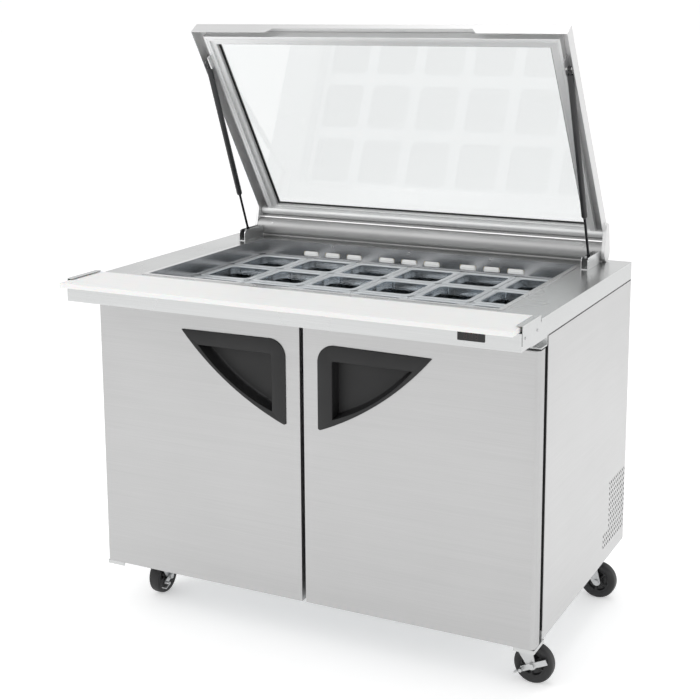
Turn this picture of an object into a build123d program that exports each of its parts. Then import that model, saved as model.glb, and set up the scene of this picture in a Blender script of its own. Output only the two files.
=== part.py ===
from build123d import *
import math
import os

# Sandwich prep table: a two-door refrigerated cabinet on casters, with a pan well and a glazed lid.
# Millimetres. The ground is z = 0, the doors face -Y, and the origin is under the middle of the table.

# Cabinet
width = 1225.4               # over the side panels
door_face = -299.6           # y of the doors' front faces
cabinet_front = door_face + 60.0
cabinet_back = door_face + 762.8
cabinet_bottom = 140.0
sheet = 1.2                  # stainless sheet of the panels
wall = 49.0                  # inside face of the liner from the outside face of the panel
floor_level = 190.0          # top of the insulated floor
compartment_front = door_face + 553.0
compartment_top = 375.0      # condensing unit's space, low at the back
step_front = door_face + 505.0
step_top = 422.0

# Worktop
apron_front = door_face - 125.0
apron_bottom = 890.0
surface = 938.0
board_seat = 932.0           # lower front strip that the cutting board lies on
seat_back = door_face + 7.0
top_sheet = 1.5
display_x = 496.0            # middle of the controller
display_width = 65.0

# Pan well
well_half = 492.0
well_front = door_face + 60.0
well_back = door_face + 656.0
ledge_level = 888.0
pan_columns = 6
pan_pitch_x = 163.4
pan_pitch_y = 180.0
rear_row = door_face + 564.0
pan_size = (161.0, 175.0)    # flange, as a one-sixth pan
pan_depth = 100.0
nozzle_level = 905.0         # middle of the air slots

# Doors
door_gap = 5.5               # from the middle of the table to each door
door_low = 140.0
door_high = 863.0
door_thick = 46.0
hinge_x = 588.0
hinge_y = door_face + 25.0
pivot_r = 5.0

# Lid, drawn shut and level about its pivot axis, then turned to its open angle
lid_open = 56.7
pivot_y = door_face + 738.1
pivot_z = 965.0
rim_back = 21.3              # lid's rear edge, in front of the pivot axis
rim_rise = 19.5              # lid's rim plane, above the pivot axis
lid_half = 541.5
lid_length = 680.0
lid_depth = 37.0
glass_half = 486.0
glass_rear = 34.0
glass_front = 627.0
glass_margin = 9.0           # of the pane behind its frame, all round
frame_member = 15.0          # width of each step of the window frame
strut_x = 529.0
stud_s = 572.0               # strut's stud, along the lid
stud_n = 6.0                 # and above its rim plane
strut_foot = (door_face + 637.6, 964.0)
tube_length = 410.0

# Cold parts
condenser_fan_x = 520.0
condenser_axis = (door_face + 659.0, 258.0)
coil_back = cabinet_back - 50.5          # evaporator stands on the liner's back wall
evaporator_fan_y = coil_back - 92.0
evaporator_axis_z = 657.0
shaft_r = 4.0
shelf_level = 470.0

# Hinge brackets
hinge_plate = (135.5, 138.8)             # bottom plate under each door's outer corner
hinge_lip_low = 129.5                    # edge of the plate's turned-down lips
hinge_lip = 2.5                          # their thickness

# Board brackets
board_side_low = 903.0
board_flange = (947.3, 948.9)            # clear above the board
board_flange_reach = 14.5

# Roll along the back of the surface
roll_r = 26.0
roll_bore = 24.0
roll_screw_x = 490.0
roll_screw_turn = 30.0                   # degrees above straight forward

# Casters: wheel centre 35 behind the swivel axis
caster_x = 540.0
caster_y = (door_face + 120.0, door_face + 662.0)
wheel_r = 50.0
wheel_width = 32.0
trail = 35.0
running_gap = 0.07           # radial clearance of every shaft in its hole

half = width / 2
nodes = {}


# Small shape helpers

def block(x0, x1, y0, y1, z0, z1):
    """A block between two opposite corners."""
    return Pos((x0 + x1) / 2, (y0 + y1) / 2, (z0 + z1) / 2) * Box(x1 - x0, y1 - y0, z1 - z0)


def rod_x(x0, x1, y, z, r):
    """A round bar along X."""
    return Pos((x0 + x1) / 2, y, z) * Rot(0, 90, 0) * Cylinder(r, x1 - x0)


def rod_y(x, y0, y1, z, r):
    """A round bar along Y."""
    return Pos(x, (y0 + y1) / 2, z) * Rot(90, 0, 0) * Cylinder(r, y1 - y0)


def rod_z(x, y, z0, z1, r):
    """A round bar along Z."""
    return Pos(x, y, (z0 + z1) / 2) * Cylinder(r, z1 - z0)


def fuse(pieces):
    """All the pieces joined into one solid."""
    return pieces[0].fuse(*pieces[1:])


def mirrored(shape):
    """The same shape on the other side of the table."""
    return mirror(shape, about=Plane.YZ)


def both_sides(shape):
    """The shape and its mirror image."""
    return [shape, mirrored(shape)]


def save(name, shape):
    """Writes one node; a list becomes a group of separate solids."""
    if isinstance(shape, list):
        solids = [solid for piece in shape for solid in piece.solids()]
        shape = Compound(children=solids)
    nodes[name] = shape
    export_step(shape, "parts/" + name + ".step")


# Cabinet panels and insulation

def side_panel():
    """Right-hand skin with a flange turned across the cabinet's front edge."""
    skin = block(half - sheet, half, cabinet_front, cabinet_back - sheet, 143, apron_bottom)
    flange = block(half - 24, half, cabinet_front, cabinet_front + sheet, 143, apron_bottom)
    return skin.fuse(flange)


def side_vents():
    """Slanted slots beside the condensing unit: three long low rows and nine short rows."""
    slots = []
    slot = Rot(0, 90, 0) * extrude(Rot(0, 0, 40) * SlotOverall(13, 4.4), 8, both=True)
    for row in range(12):
        first = 563.0 if row < 3 else 613.0
        for step in range(int((757 - first) / 15.5) + 1):
            slots.append(Pos(half, door_face + first + 15.5 * step, 187 + 15 * row) * slot)
    return slots


def rear_grille():
    """Louvred cover over the back of the condensing unit's space."""
    plate = block(-half + 1.5, half - 1.5, cabinet_back - sheet, cabinet_back, 160, compartment_top - 1)
    slots = []
    for row in range(9):
        for column in range(-3, 4):
            slots.append(Pos(150 * column, cabinet_back, 190 + 18 * row) * Box(110, 8, 6))
    return plate.cut(*slots)


def insulation():
    """Foamed walls: sides, floor, the two faces of the step, the back and the top rail."""
    inner = half - wall - 1
    front = cabinet_front + 2.2
    back = cabinet_back - sheet - 0.1
    sides = block(inner, half - sheet, front, back, compartment_top, apron_bottom - 1)
    low_sides = block(inner, half - sheet, front, compartment_front, 143, compartment_top)
    floor = block(-inner, inner, front, compartment_front, 143, floor_level - 1)
    step_face = block(-inner, inner, step_front, compartment_front, floor_level - 1, compartment_top)
    step = block(-inner, inner, step_front, back, compartment_top, step_top - 1)
    rear = block(-inner, inner, back - 48, back, step_top - 1, apron_bottom - 1)
    rail = block(-inner, inner, front, well_front + 12.6, 836, ledge_level - 1.4)
    return both_sides(sides) + both_sides(low_sides) + [floor, step_face, step, rear, rail]


def cabinet_liner():
    """Inner box, open at the front and at the top, with the step over the condensing unit."""
    back = cabinet_back - sheet - 48.1
    front = cabinet_front + 2.2
    inner = half - wall - 1

    def profile(gap):
        points = [
            (front, floor_level - 1 + gap),
            (step_front - gap, floor_level - 1 + gap),
            (step_front - gap, step_top - 1 + gap),
            (back - gap, step_top - 1 + gap),
            (back - gap, 835),
            (front, 835),
        ]
        face = make_face(Polyline(*points, close=True).edges())
        return extrude(Plane.YZ * face, inner - gap, both=True)

    opening = block(-inner + 1, inner - 1, front - 5, back - 1, step_top, 840)
    lower = block(-inner + 1, inner - 1, front - 5, step_front - 1, floor_level, step_top + 5)
    return profile(0.05).cut(opening, lower)


def front_frame():
    """Plastic breaker frame round the door openings, with the post between the doors."""
    frame = block(-588, 588, cabinet_front, cabinet_front + 2, 141.6, ledge_level - 2)
    left = block(-562, -24, cabinet_front - 5, cabinet_front + 8, floor_level, 834)
    post = block(-23, 23, cabinet_front + 2, cabinet_front + 40, floor_level, 834)
    return frame.cut(left, mirrored(left)).fuse(post)


def base_pan():
    """Bottom sheet with its edges turned up inside the panels."""
    inner = half - sheet - 0.1
    back = cabinet_back - sheet - 0.1
    floor = block(-inner, inner, cabinet_front + 2.1, back, cabinet_bottom, cabinet_bottom + 1.5)
    rear_lip = block(-inner, inner, back - 1.5, back, cabinet_bottom, 158)
    return floor.fuse(rear_lip)


# Worktop

def worktop():
    """Formed stainless top: flat surface, lower board seat, deep apron and closed overhang."""
    back = cabinet_back
    shell = block(-half, half, apron_front, back, apron_bottom, surface)
    shell = shell.cut(block(-half - 1, half + 1, apron_front - 1, seat_back, board_seat, surface + 1))
    inner = half - top_sheet
    low = apron_bottom + top_sheet
    seat_low = board_seat - top_sheet
    top_low = surface - top_sheet
    hollows = [
        block(-inner, inner, apron_front + top_sheet, seat_back, low, seat_low),
        block(-inner, inner, seat_back - 1, cabinet_front, low, seat_low),
        block(-inner, inner, seat_back + top_sheet, cabinet_front, board_seat - 3, top_low),
        block(-inner, inner, cabinet_front - 1, back - top_sheet, apron_bottom - 1, top_low),
        block(-well_half - 0.2, well_half + 0.2, well_front - 0.2, well_back + 0.2, 880, surface + 1),
        display_space(),
    ]
    return shell.cut(*hollows)


def display_space():
    """Hole in the apron for the controller."""
    half_x = display_width / 2 - 1.5
    return block(display_x - half_x, display_x + half_x, apron_front - 2, apron_front + 20, 905.5, 924.5)


def worktop_core():
    """Foam under the surface, as the strips in front of, beside and behind the well."""
    inner = half - top_sheet
    front = block(-inner, inner, apron_front + 20.5, cabinet_front - 2, apron_bottom + 1.5, board_seat - 1.5)
    beside = block(well_half + 1.5, inner, cabinet_front, well_back + 2, apron_bottom, surface - 1.5)
    behind = block(-inner, inner, well_back + 2, cabinet_back - top_sheet, apron_bottom, surface - 1.5)
    return [front, behind] + both_sides(beside)


def control_display():
    """Small black temperature controller, set in the apron."""
    outer, inner = display_width / 2, display_width / 2 - 2
    bezel = block(display_x - outer, display_x + outer, apron_front - 1.6, apron_front, 904, 926)
    body = block(display_x - inner, display_x + inner, apron_front, apron_front + 18, 906, 924)
    return fillet(bezel.edges().filter_by(Axis.Y), 1.5).fuse(body)


def board_bracket():
    """Stainless angle at the right end of the board: a side plate and a flange over the board."""
    front, back = apron_front + 4, door_face - 1
    outer = half + top_sheet
    under, top = board_flange
    plate = block(half, outer, front, back, board_side_low, top)
    flange = block(half - board_flange_reach, outer, front, back, under, top)
    return plate.fuse(flange)


def cutting_board():
    """Half-inch white polyethylene board, with eased edges."""
    back = door_face + 5
    front = door_face - 165
    board = block(-607, 607, front, back, board_seat + 0.4, board_seat + 13.1)
    return fillet(board.edges(), 2.5)


# Pan well

def well_slots():
    """Nine air slots in the back wall, in three groups of three."""
    slots = []
    for group in (-252.0, -5.0, 247.0):
        for side in (-71.0, 0.0, 71.0):
            slots.append((group + side, nozzle_level))
    return slots


def well_liner():
    """Walls of the pan well, with a rim on the surface and a ledge for the pans."""
    def well_block(grow, low, high):
        half_x = well_half + grow
        return block(-half_x, half_x, well_front - grow, well_back + grow, low, high)

    outer = well_block(0, 850, surface)
    rim = well_block(12, surface, surface + sheet)
    upper = well_block(-sheet, ledge_level, surface + 5)
    lower = well_block(-14, 840, surface)
    outside = well_block(1, 840, ledge_level - sheet)
    skirt = well_block(-12.8, 850, ledge_level)
    body = outer.cut(outside).fuse(rim, skirt).cut(upper, lower)
    slot = Rot(90, 0, 0) * extrude(RectangleRounded(50, 15, 5), 6, both=True)
    return body.cut(*[Pos(x, well_back, z) * slot for x, z in well_slots()])


def air_nozzles():
    """White moulded louvres in the air slots, each with two slits."""
    face = Rot(90, 0, 0) * extrude(RectangleRounded(49, 14, 4.6), 2.6)
    slits = [Pos(0, -1, z) * Box(38, 12, 1.8) for z in (-2.8, 2.8)]
    nozzle = face.cut(*slits)
    return [Pos(x, well_back + 0.6, z) * nozzle for x, z in well_slots()]


def pan_bars():
    """Stainless bars that carry the pans, and the filler strip in front of the first row."""
    bars = []
    x_edge = well_half - sheet - 0.2
    y_seams = [rear_row - pan_pitch_y * (row + 0.5) for row in range(2)]
    for y in y_seams:
        bars.append(block(-x_edge, x_edge, y - 8, y + 8, ledge_level, ledge_level + 2))
    filler_back = rear_row - 2.5 * pan_pitch_y - 1
    bars.append(block(-x_edge, x_edge, well_front + 1.4, filler_back, ledge_level, ledge_level + 2))
    rows = [(y_seams[0] + 8.2, well_back - 1.4), (y_seams[1] + 8.2, y_seams[0] - 8.2)]
    rows.append((filler_back + 0.2, y_seams[1] - 8.2))
    for low, high in rows:
        for seam in range(1, pan_columns):
            x = (seam - pan_columns / 2) * pan_pitch_x
            bars.append(block(x - 9, x + 9, low, high, ledge_level, ledge_level + 2))
    return bars


def pan():
    """Clear one-sixth pan: flat rim and tapered walls."""
    rim = extrude(RectangleRounded(pan_size[0], pan_size[1], 14), 2)
    outer = loft([
        Pos(0, 0, 1) * RectangleRounded(pan_size[0] - 25, pan_size[1] - 25, 16),
        Pos(0, 0, -pan_depth) * RectangleRounded(pan_size[0] - 39, pan_size[1] - 39, 16),
    ])
    inner = loft([
        Pos(0, 0, 4) * RectangleRounded(pan_size[0] - 29.5, pan_size[1] - 29.5, 14),
        Pos(0, 0, -pan_depth + 3) * RectangleRounded(pan_size[0] - 44, pan_size[1] - 44, 14),
    ])
    return rim.fuse(outer).cut(inner)


def pan_row(y):
    """Six pans side by side."""
    one = pan()
    centres = [(column - (pan_columns - 1) / 2) * pan_pitch_x for column in range(pan_columns)]
    return [Pos(x, y, ledge_level + 2.2) * one for x in centres]


# Inside the cabinet

def wire_shelf():
    """Right-hand shelf: a rod frame, three cross rods and wires from front to back."""
    x0, x1 = 34.0, 556.0
    y0, y1 = cabinet_front + 48, step_front - 18
    z = shelf_level
    rods = [rod_x(x0 - 5, x1 + 5, y, z, 4) for y in (y0, (y0 + y1) / 2, y1)]
    rods += [rod_y(x, y0 - 2, y1 + 2, z, 3.6) for x in (x0, x1)]
    count = 13
    pitch = (x1 - x0) / (count + 1)
    wires = [rod_y(x0 + pitch * k, y0 - 1.5, y1 + 1.5, z + 3, 2.3) for k in range(1, count + 1)]
    return fuse(rods + wires)


def shelf_clips():
    """Brackets on the side walls and on the middle post, two for each end of a shelf."""
    y_clips = (cabinet_front + 80, step_front - 60)
    low, high = shelf_level - 15, shelf_level - 4.3
    clips = [block(543, half - wall - 2.2, y - 9, y + 9, low, high) for y in y_clips]
    clips.append(block(12, 44, cabinet_front + 40.2, cabinet_front + 56, low, high))
    return [piece for shape in clips for piece in both_sides(shape)]


def evaporator_coil():
    """Finned block behind the fan, with its tube bends."""
    core = block(-210, 210, coil_back - 42, coil_back, 570, 745)
    bends = [rod_x(210, 232, coil_back - 21, z, 8) for z in (600, 657, 714)]
    return core.fuse(*(bends + [mirrored(bend) for bend in bends]))


def evaporator_cover():
    """Sheet cover with the fan's round inlet, and slots along its top."""
    front = coil_back - 106
    cover = block(-250, 250, front, coil_back, 555, 760)
    cover = cover.cut(block(-248.5, 248.5, front + 1.5, coil_back + 1, 556.5, 758.5))
    slots = [block(x - 16, x + 16, front + 20, front + 30, 750, 765) for x in range(-200, 201, 50)]
    return cover.cut(rod_y(0, front - 5, front + 5, evaporator_axis_z, 66), *slots)


def fan(blade_r, hub_r, depth, bore_r, blades):
    """Axial fan along Z: a hub with twisted blades and a bore for the motor's shaft."""
    pieces = [Cylinder(hub_r, depth)]
    for k in range(blades):
        blade = Rot(32, 0, 0) * Box(blade_r - hub_r + 2, hub_r * 1.7, 1.6)
        blade = Pos((hub_r + blade_r) / 2 - 2, 0, 0) * blade
        pieces.append(Rot(0, 0, 360 * k / blades) * blade)
    return fuse(pieces).cut(Cylinder(bore_r, depth * 2))


def fan_motor(body_r, length, shaft):
    """Motor can along Z with its shaft pointing to +Z from z = 0."""
    can = Pos(0, 0, -length / 2) * Cylinder(body_r, length)
    return can.fuse(Pos(0, 0, shaft / 2) * Cylinder(shaft_r, shaft))


def compressor():
    """Welded dome compressor on its feet."""
    x, y = -330.0, door_face + 657.0
    can = rod_z(x, y, 149, 330, 74)
    can = fillet(can.edges(), 30)
    plate = block(x - 95, x + 95, y - 60, y + 60, 146, 151)
    feet = [rod_z(x + dx, y + dy, cabinet_bottom + 1.5, 152, 12) for dx in (-80, 80) for dy in (-45, 45)]
    box = block(x + 60, x + 98, y - 35, y + 35, 205, 285)
    return fuse([can, plate, box] + feet)


def condenser_coil():
    """Finned block just inside the side vents."""
    y = condenser_axis[0]
    core = block(562, 600, y - 92, y + 92, 160, 360)
    feet = block(562, 600, y - 92, y + 92, cabinet_bottom + 1.5, 160)
    bends = [rod_y(581, y + 92, y + 99, z, 7) for z in (190, 230, 270, 310)]
    return core.fuse(feet, *bends)


def condenser_shroud():
    """Fan plate with its ring, a motor behind it, and the motor's two arms."""
    y, z = condenser_axis
    plate = block(558, 560, y - 101, y + 101, cabinet_bottom + 1.5, 360)
    ring = rod_x(530, 560, y, z, 88)
    shroud = plate.fuse(ring).cut(rod_x(520, 570, y, z, 85))
    motor = Pos(condenser_fan_x - 14, y, z) * Rot(0, 90, 0) * fan_motor(34, 50, 26)
    arms = block(462, 470, y - 100, y + 100, z - 6, z + 6)
    legs = [block(462, 560, y + dy - 3, y + dy + 3, z - 6, z + 6) for dy in (-97, 97)]
    return fuse([shroud, motor, arms] + legs)


def evaporator_motor():
    """Motor on a cross strap, in front of the coil."""
    motor = Pos(0, coil_back - 76, evaporator_axis_z) * Rot(90, 0, 0) * fan_motor(26, 30, 22)
    strap = block(-12, 12, coil_back - 48, coil_back - 44, 556.5, 758.5)
    return motor.fuse(strap)


# Doors

def handle_outline(grow):
    """Fin-shaped outline of the right-hand handle: square at the inner top, curved below."""
    inner, top, low, tip = 45 - grow, 820 + grow, 604 - grow, 350 + grow * 1.6
    corner = 45.0
    edges = [
        Line((inner, low), (inner, top - corner)),
        RadiusArc((inner, top - corner), (inner + corner, top), corner),
        Line((inner + corner, top), (tip, top - 3)),
        ThreePointArc((tip, top - 3), (214 + grow * 0.6, 691 - grow * 0.9), (inner + 8, low - 2)),
        Line((inner + 8, low - 2), (inner, low)),
    ]
    return make_face(edges)


def handle_pocket(grow):
    """Outline of the finger recess inside the handle's border."""
    inner, top = 85 - grow, 780 + grow
    edges = [
        Line((inner, 632 - grow), (inner, top)),
        Line((inner, top), (300 + grow * 1.5, top)),
        ThreePointArc((300 + grow * 1.5, top), (202 + grow * 0.6, 692 - grow * 0.8), (inner, 632 - grow)),
    ]
    return make_face(edges)


def upright(face, y0, y1):
    """A face drawn in x and z, made solid from y0 back to y1."""
    plane = Plane(origin=(0, y0, 0), x_dir=(1, 0, 0), z_dir=(0, -1, 0))
    return extrude(plane * face, -(y1 - y0))


def door_body(inset):
    """Outer form of the right-hand door, with its hinge-side edges rounded, shrunk by an inset."""
    back = door_face + door_thick
    body = block(
        door_gap + inset, half - inset, door_face + inset, back - inset, door_low + inset, door_high - inset)
    front_edge = body.edges().filter_by(Axis.Z).group_by(Axis.X)[-1].sort_by(Axis.Y)[0]
    body = fillet(front_edge, 12 - inset)
    back_edge = body.edges().filter_by(Axis.Z).group_by(Axis.Y)[-1].sort_by(Axis.X)[-1]
    return fillet(back_edge, 10 - inset)


def door_holes(r):
    """Space for the pivot pins at the top and bottom of the right-hand door."""
    return [rod_z(hinge_x, hinge_y, z - 18, z + 18, r) for z in (door_low, door_high)]


def door_panel():
    """Stainless pan of the right-hand door, with its back edges turned in for the liner."""
    back = door_face + door_thick
    open_back = block(door_gap + 12, half - 22, back - 5, back + 5, door_low + 12, door_high - 12)
    pocket = upright(handle_pocket(2.9), door_face - 1, door_face + 32)
    return door_body(0).cut(door_body(sheet), open_back, pocket, *door_holes(pivot_r + running_gap))


def door_foam():
    """Foam inside the right-hand door, round the handle's tub."""
    pocket = upright(handle_pocket(2.9), door_face - 1, door_face + 31.4)
    return door_body(sheet + 0.1).cut(pocket, *door_holes(pivot_r + 1))


def door_liner():
    """Pressed inner sheet of the right-hand door, with a raised field."""
    back = door_face + door_thick
    sheet_plate = block(door_gap + 1, half - 11, back, back + 1.5, door_low + 1, door_high - 1)
    field = block(60, 544, back + 1.5, back + 7, 194, 809)
    field = fillet(field.edges().filter_by(Axis.Y), 18)
    return sheet_plate.fuse(field)


def door_gasket():
    """Black magnetic gasket round the back of the right-hand door."""
    back = door_face + door_thick
    front, rear = back + 1.5, cabinet_front - 0.6
    ring = block(7, 586, front, rear, 146, 857)
    return ring.cut(block(25, 571, front - 1, rear + 1, 164, 839))


def door_handle():
    """Black recessed handle: a flat border proud of the door, and a tub behind it."""
    border = upright(handle_outline(0), door_face - 2.6, door_face)
    tub = upright(handle_pocket(2.5), door_face, door_face + 31)
    hollow = upright(handle_pocket(0), door_face - 5, door_face + 28.5)
    return border.fuse(tub).cut(hollow)


def door_brackets():
    """Top and bottom hinge brackets of the right-hand door, each with its pivot pin."""
    cap = block(560, half - 1.5, door_face - 50, door_face + 58, 886, 889.9)
    drop = block(560, half - 1.5, door_face + 53, door_face + 57.5, 866, 886)
    arm = block(560, half - 1.5, hinge_y - 12, door_face + 57.5, 865, 868.5)
    upper = fuse([cap, drop, arm, rod_z(hinge_x, hinge_y, door_high - 15, 866, pivot_r)])
    under, top = hinge_plate
    front, back = door_face + 2, cabinet_front + 14
    foot = block(560, half, front, back, under, top)
    front_lip = block(560, half, front, front + hinge_lip, hinge_lip_low, top)
    outer_lip = block(half - hinge_lip, half, front, back, hinge_lip_low, top)
    flange = block(590, half, cabinet_front - 3, cabinet_front - 0.2, 138, 166)
    pin = rod_z(hinge_x, hinge_y, 136, door_low + 15, pivot_r)
    return [upper, fuse([foot, front_lip, outer_lip, flange, pin])]


# Lid

def lid_block(x0, x1, s0, s1, n0, n1):
    """A block of the shut lid: s runs forward from its rear edge, n up from its rim plane."""
    return block(x0, x1, -rim_back - s1, -rim_back - s0, rim_rise + n0, rim_rise + n1)


def open_lid(shape):
    """Moves a lid piece from the drawn pose to its open rest pose."""
    return Pos(0, pivot_y, pivot_z) * Rot(-lid_open, 0, 0) * shape


def lid_profile(inset, x_half, low):
    """Side view of the lid, square in front and rounded over the hinge, as a solid."""
    r = 28.0 - inset
    rear, front = inset, lid_length - inset
    top = lid_depth - inset
    edges = [
        Line((rear, low), (front, low)),
        Line((front, low), (front, top)),
        Line((front, top), (rear + r, top)),
        RadiusArc((rear + r, top), (rear, top - r), -r),
        Line((rear, top - r), (rear, low)),
    ]
    face = make_face(edges)
    plane = Plane(origin=(0, -rim_back, rim_rise), x_dir=(0, -1, 0), z_dir=(-1, 0, 0))
    return extrude(plane * face, x_half, both=True)


def lid_skirt():
    """Stainless lid: flat top with the window opening, and turned-down edges with a hand notch."""
    shell = lid_profile(0, lid_half, 0).cut(lid_profile(sheet, lid_half - sheet, -2))
    window = lid_block(-glass_half + 4, glass_half - 4, glass_rear - 4, glass_front + 4, 20, 50)
    plane = Plane(origin=(0, -rim_back - lid_length, rim_rise), x_dir=(1, 0, 0), z_dir=(0, -1, 0))
    notch_points = [(-306, -2), (306, -2), (289, 19), (-289, 19)]
    notch = extrude(plane * make_face(Polyline(*notch_points, close=True).edges()), 5, both=True)
    return shell.cut(window, notch)


def lid_ring(outer, inner_half, s0, s1, n0, n1):
    """A rectangular ring round the window, outer wider than the opening by a margin."""
    ring = lid_block(-inner_half - outer, inner_half + outer, s0 - outer, s1 + outer, n0, n1)
    return ring.cut(lid_block(-inner_half, inner_half, s0, s1, n0 - 1, n1 + 1))


def lid_window_frame():
    """Stepped aluminium window frame, with the round bar along the lid's rear, kept inside the skin."""
    step = frame_member
    inner = lid_ring(step, glass_half, glass_rear, glass_front, 16, 26.4)
    outer = lid_ring(step, glass_half + step, glass_rear - step, glass_front + step, 10, 34.8)
    bar = rod_x(-540, 540, -rim_back - 14.5, rim_rise + 13.5, 11)
    beyond = lid_block(-600, 600, -5, 29, 0, 60).cut(lid_profile(sheet + 0.1, 601, -1))
    return fuse([inner, outer, bar]).cut(beyond)


def lid_gasket():
    """Black glazing seal round the glass."""
    lip = 5
    return lid_ring(glass_margin + lip, glass_half - lip, glass_rear + lip, glass_front - lip, 26.5, 29.4)


def lid_glass():
    """Double glazed pane."""
    half_x = glass_half + glass_margin
    rear, front = glass_rear - glass_margin, glass_front + glass_margin
    return lid_block(-half_x, half_x, rear, front, 29.5, 35.6)


def lid_brackets():
    """Pivot arms on the skirt's ends, and the struts' studs, right-hand side."""
    far = Pos(-rim_back - 34, rim_rise + 19) * Circle(12)
    arm = extrude(Plane.YZ * make_hull([Circle(26.3).edge(), far.edge()]), 9)
    arm = Pos(lid_half + 0.1, 0, 0) * arm
    arm = arm.cut(rod_x(lid_half - 1, lid_half + 7.1, 0, 0, 6 + running_gap))
    mount = lid_block(516.2, 519.6, stud_s - 16, stud_s + 22, stud_n - 9, 35.6)
    stud = rod_x(519, 536, -rim_back - stud_s, rim_rise + stud_n, 4)
    return [arm, mount.fuse(stud)]


def lid_hinge_roll():
    """Fixed tube along the back of the surface, with the two pivot pins in its ends."""
    tube = rod_x(-541, 541, pivot_y, pivot_z, roll_r)
    foot = block(-541, 541, pivot_y - 9, pivot_y + 9, surface, pivot_z - 20)
    tube = tube.fuse(foot).cut(rod_x(-545, 545, pivot_y, pivot_z, roll_bore))
    plug = rod_x(521, 541, pivot_y, pivot_z, roll_bore).fuse(rod_x(540, 548.4, pivot_y, pivot_z, 6))
    return [tube] + both_sides(plug)


# Gas struts

def stud_point():
    """The strut's upper stud at rest, as y and z."""
    a = math.radians(lid_open)
    back, up = rim_back + stud_s, rim_rise + stud_n
    return (pivot_y - back * math.cos(a) + up * math.sin(a), pivot_z + back * math.sin(a) + up * math.cos(a))


def strut_place():
    """Frame whose +Z runs down the strut from the stud to the foot."""
    top = stud_point()
    along = (0, strut_foot[0] - top[0], strut_foot[1] - top[1])
    return Plane(origin=(strut_x, top[0], top[1]), x_dir=(1, 0, 0), z_dir=along)


def strut_length():
    """Distance between the two strut ends with the lid open."""
    top = stud_point()
    return math.hypot(strut_foot[0] - top[0], strut_foot[1] - top[1])


def strut_tube():
    """Right-hand gas cylinder, from its eye on the lid's stud."""
    eye = Rot(0, 90, 0) * Cylinder(7, 9)
    neck = Pos(0, 0, 11) * Cylinder(4, 12)
    body = Pos(0, 0, 16 + tube_length / 2) * Cylinder(8, tube_length)
    body = fillet(body.edges(), 2)
    bore = Pos(0, 0, tube_length - 50) * Cylinder(3.5 + running_gap, 180)
    stud = Rot(0, 90, 0) * Cylinder(4 + running_gap, 20)
    return strut_place() * fuse([eye, neck, body]).cut(stud, bore)


def strut_rod():
    """Right-hand piston rod, with its eye at the foot bracket."""
    length = strut_length()
    rod = Pos(0, 0, length - 96) * Cylinder(3.5, 180)
    eye = Pos(0, 0, length) * Rot(0, 90, 0) * Cylinder(7, 8)
    return strut_place() * rod.fuse(eye)


def strut_bracket():
    """Right-hand foot bracket: two plates on a base, each with half of the pivot pin."""
    y0, y1 = door_face + 600, door_face + 709
    plates = []
    for x0 in (519.0, 537.0):
        plate = block(x0, x0 + 2, y0, y1, surface, 971)
        front_top = plate.edges().filter_by(Axis.X).group_by(Axis.Z)[-1].sort_by(Axis.Y)[0]
        plates.append(fillet(front_top, 14))
    base = block(519, 539, y0, y1, surface, surface + 2)
    stubs = [rod_x(520, 524.4, *strut_foot, 4), rod_x(533.6, 538, *strut_foot, 4)]
    return fuse(plates + [base] + stubs)


# Casters, drawn with the swivel axis at the origin and the wheel trailing to +X

def caster_plate():
    """Fixed top plate with the raceway and the kingpin."""
    plate = fillet(block(-47, 47, -40, 40, 136, 139.9).edges().filter_by(Axis.Z), 8)
    raceway = rod_z(0, 0, 128, 136.5, 26)
    kingpin = rod_z(0, 0, 112, 129, 6)
    head = rod_z(0, 0, 109, 113.4, 11)
    return fuse([plate, raceway, kingpin, head])


def caster_fork(brake_gap):
    """Swivel cup with two tapering legs, and the axle bolt through them."""
    cup = fillet(rod_z(0, 0, 114, 127.5, 29).edges().sort_by(Axis.Z)[-1], 4)
    cup = cup.cut(rod_z(0, 0, 100, 124.5, 26)).fuse(rod_z(0, 0, 120, 124.6, 26.5))
    outline = [Circle(11).edge().moved(Location((trail, wheel_r))), Line((-25, 117), (29, 117))]
    face = make_hull(outline)
    legs = []
    for y in (-23.2, 20.2):
        plane = Plane(origin=(0, y, 0), x_dir=(1, 0, 0), z_dir=(0, -1, 0))
        legs.append(extrude(plane * face, -3.0))
    bridge = block(-25, 29, -23.2, 23.2, 116, 121)
    fork = fuse([cup] + legs + [bridge])
    fork = fork.cut(rod_z(0, 0, 100, 119.9, 14.5), rod_z(0, 0, 100, 140, 6 + running_gap))
    axle = rod_y(trail, -26.2 - brake_gap, 26.2, wheel_r, 5)
    fork = fork.cut(rod_y(trail, -30, 30, wheel_r, 5))
    heads = []
    for y0 in (-28.2 - brake_gap, 23.3):
        plane = Plane(origin=(trail, y0, wheel_r), x_dir=(1, 0, 0), z_dir=(0, -1, 0))
        heads.append(extrude(plane * RegularPolygon(8, 6), -4.8))
    return [fork, fuse([axle] + heads)]


def caster_wheel():
    """Rubber tyre with rounded shoulders on a moulded hub."""
    w = wheel_width / 2
    tyre = rod_y(0, -w, w, 0, wheel_r)
    tyre = fillet(tyre.edges(), 7).cut(rod_y(0, -w - 1, w + 1, 0, 31))
    hub = rod_y(0, -w + 2, w - 2, 0, 31).fuse(rod_y(0, -19.6, 19.6, 0, 11))
    hub = hub.cut(rod_y(0, -25, 25, 0, 5 + running_gap))
    return [Pos(trail, 0, wheel_r) * piece for piece in (tyre, hub)]


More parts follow.
